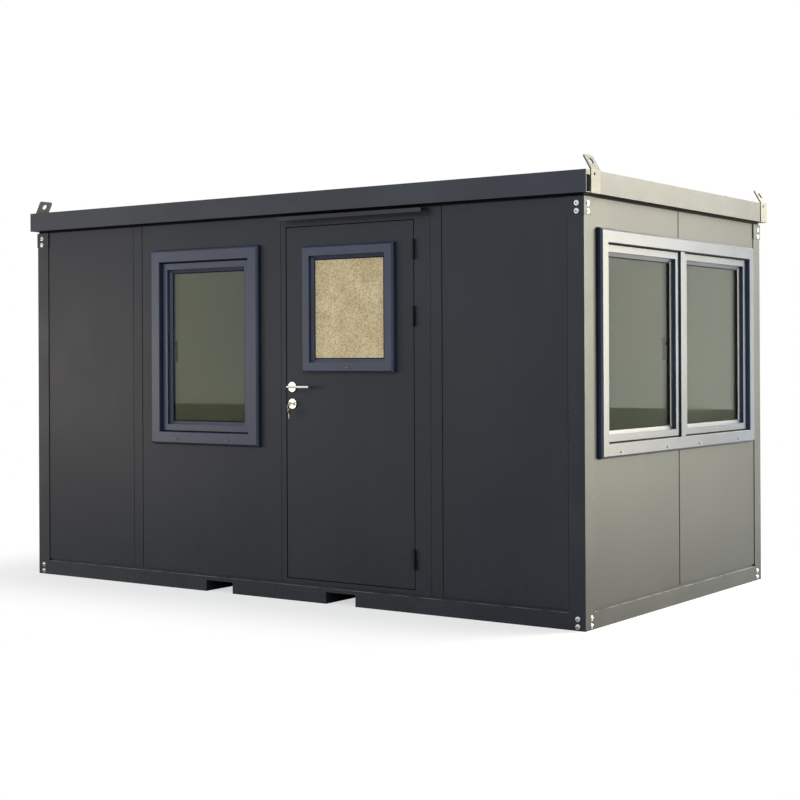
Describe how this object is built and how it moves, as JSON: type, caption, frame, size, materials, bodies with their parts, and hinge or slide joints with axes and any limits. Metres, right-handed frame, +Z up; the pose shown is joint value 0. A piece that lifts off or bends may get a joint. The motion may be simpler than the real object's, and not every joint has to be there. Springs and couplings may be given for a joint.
{
  "type": "office container",
  "caption": "Flat-roofed steel office container with an outward-opening glazed door, a front window, a double window in one end, fork pockets and lifting lugs.",
  "frame": {"origin": "on the ground in the middle of the plan over the corner posts", "axes": "+Z up, -Y towards the door side, +X towards the end with the double window"},
  "size_m": [4.05, 2.358, 2.3993],
  "materials": {
    "frame_paint": "semi-gloss anthracite paint",
    "under_steel": "primer and paint",
    "floor_board": "coated board",
    "panel_paint": "semi-gloss anthracite coil coating",
    "door_paint": "semi-gloss anthracite paint",
    "hinge_metal": "painted steel",
    "handle_metal": "satin",
    "key_brass": "worn",
    "window_profile": "smooth foil, anthracite",
    "window_handle": "satin",
    "window_glass": "clear double glazing",
    "roof_board": "white coil coating",
    "roof_metal": "coated steel sheet",
    "lug_zinc": "galvanised"
  },
  "bodies": {
    "cabin": {"base_rail_front": "frame_paint", "base_rail_rear": "frame_paint", "base_rail_left": "frame_paint", "base_rail_right": "frame_paint", "post_front_left": "frame_paint", "post_front_right": "frame_paint", "post_rear_left": "frame_paint", "post_rear_right": "frame_paint", "head_brackets": "frame_paint", "roof_rail_front": "frame_paint", "roof_rail_rear": "frame_paint", "roof_rail_left": "frame_paint", "roof_rail_right": "frame_paint", "door_rain_rail": "frame_paint", "fork_channels": "under_steel", "floor_bearers": "under_steel", "floor_deck": "floor_board", "front_panel_left": "panel_paint", "front_panel_window": "panel_paint", "front_panel_beside_door": "panel_paint", "front_panel_right": "panel_paint", "rear_panel_left": "panel_paint", "rear_panel_middle_left": "panel_paint", "rear_panel_middle_right": "panel_paint", "rear_panel_right": "panel_paint", "left_panel_front": "panel_paint", "left_panel_rear": "panel_paint", "right_panel_front": "panel_paint", "right_panel_rear": "panel_paint", "door_frame": "door_paint", "door_hinges_frame_side": "hinge_metal", "front_window_frame": "window_profile", "front_window_sash": "window_profile", "end_window_frame": "window_profile", "end_window_sashes": "window_profile", "window_handles": "window_handle", "front_window_glass": "window_glass", "end_window_glass": "window_glass", "roof_panel": "roof_board", "roof_sheet": "roof_metal", "lifting_lugs": "lug_zinc"},
    "door": {"door_leaf": "door_paint", "door_window_frame": "window_profile", "door_window_glass": "window_glass", "door_hinges_leaf_side": "hinge_metal", "lever_roses": "handle_metal", "lock_cylinder": "handle_metal", "door_keys": "key_brass"},
    "lever": {"door_lever": "handle_metal"}
  },
  "joints": [
    {"name": "door_hinge", "type": "hinge", "parent": "cabin", "child": "door", "pos_m": [0.949, -1.139, 0], "axis": [0, 0, 1], "range_deg": [0, 110]},
    {"name": "lever_turn", "type": "hinge", "parent": "door", "child": "lever", "pos_m": [0.112, -1.1285, 1.215], "axis": [0, 1, 0], "range_deg": [0, 40], "stiffness_Nm_per_rad": 2, "springref_deg": -28.65}
  ]
}
